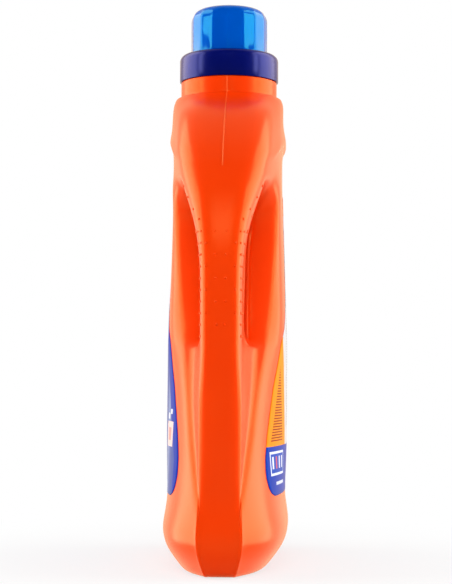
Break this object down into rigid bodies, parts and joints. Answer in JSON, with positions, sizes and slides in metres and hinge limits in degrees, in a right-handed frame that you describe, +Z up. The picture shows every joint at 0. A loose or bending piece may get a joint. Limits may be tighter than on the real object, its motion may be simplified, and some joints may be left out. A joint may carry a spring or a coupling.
{
  "type": "laundry detergent bottle",
  "caption": "Flat shouldered plastic bottle with a moulded side handle, a drip-back pour spout collar and a screw-on dosing cup cap, for liquid laundry detergent.",
  "frame": {"origin": "middle of the base, on the surface the bottle stands on", "axes": "+Z up, +X towards the handle, front label facing -Y and back label facing +Y"},
  "size_m": [0.1628, 0.0636, 0.2892],
  "materials": {
    "orange_plastic": "blow-moulded, soft gloss",
    "navy_plastic": "injection-moulded, gloss",
    "clear_blue_plastic": "translucent, gloss",
    "front_label_film": "printed film, satin sheen",
    "back_label_film": "printed film, satin sheen"
  },
  "bodies": {
    "bottle_body": {"bottle": "orange_plastic", "spout_collar": "navy_plastic", "front_label": "front_label_film", "back_label": "back_label_film"},
    "cap_body": {"dosing_cap": "clear_blue_plastic"}
  },
  "joints": [
    {"name": "cap_lift", "type": "slide", "parent": "bottle_body", "child": "cap_body", "axis": [0, 0, 1], "range_m": [0, 0.05]}
  ]
}
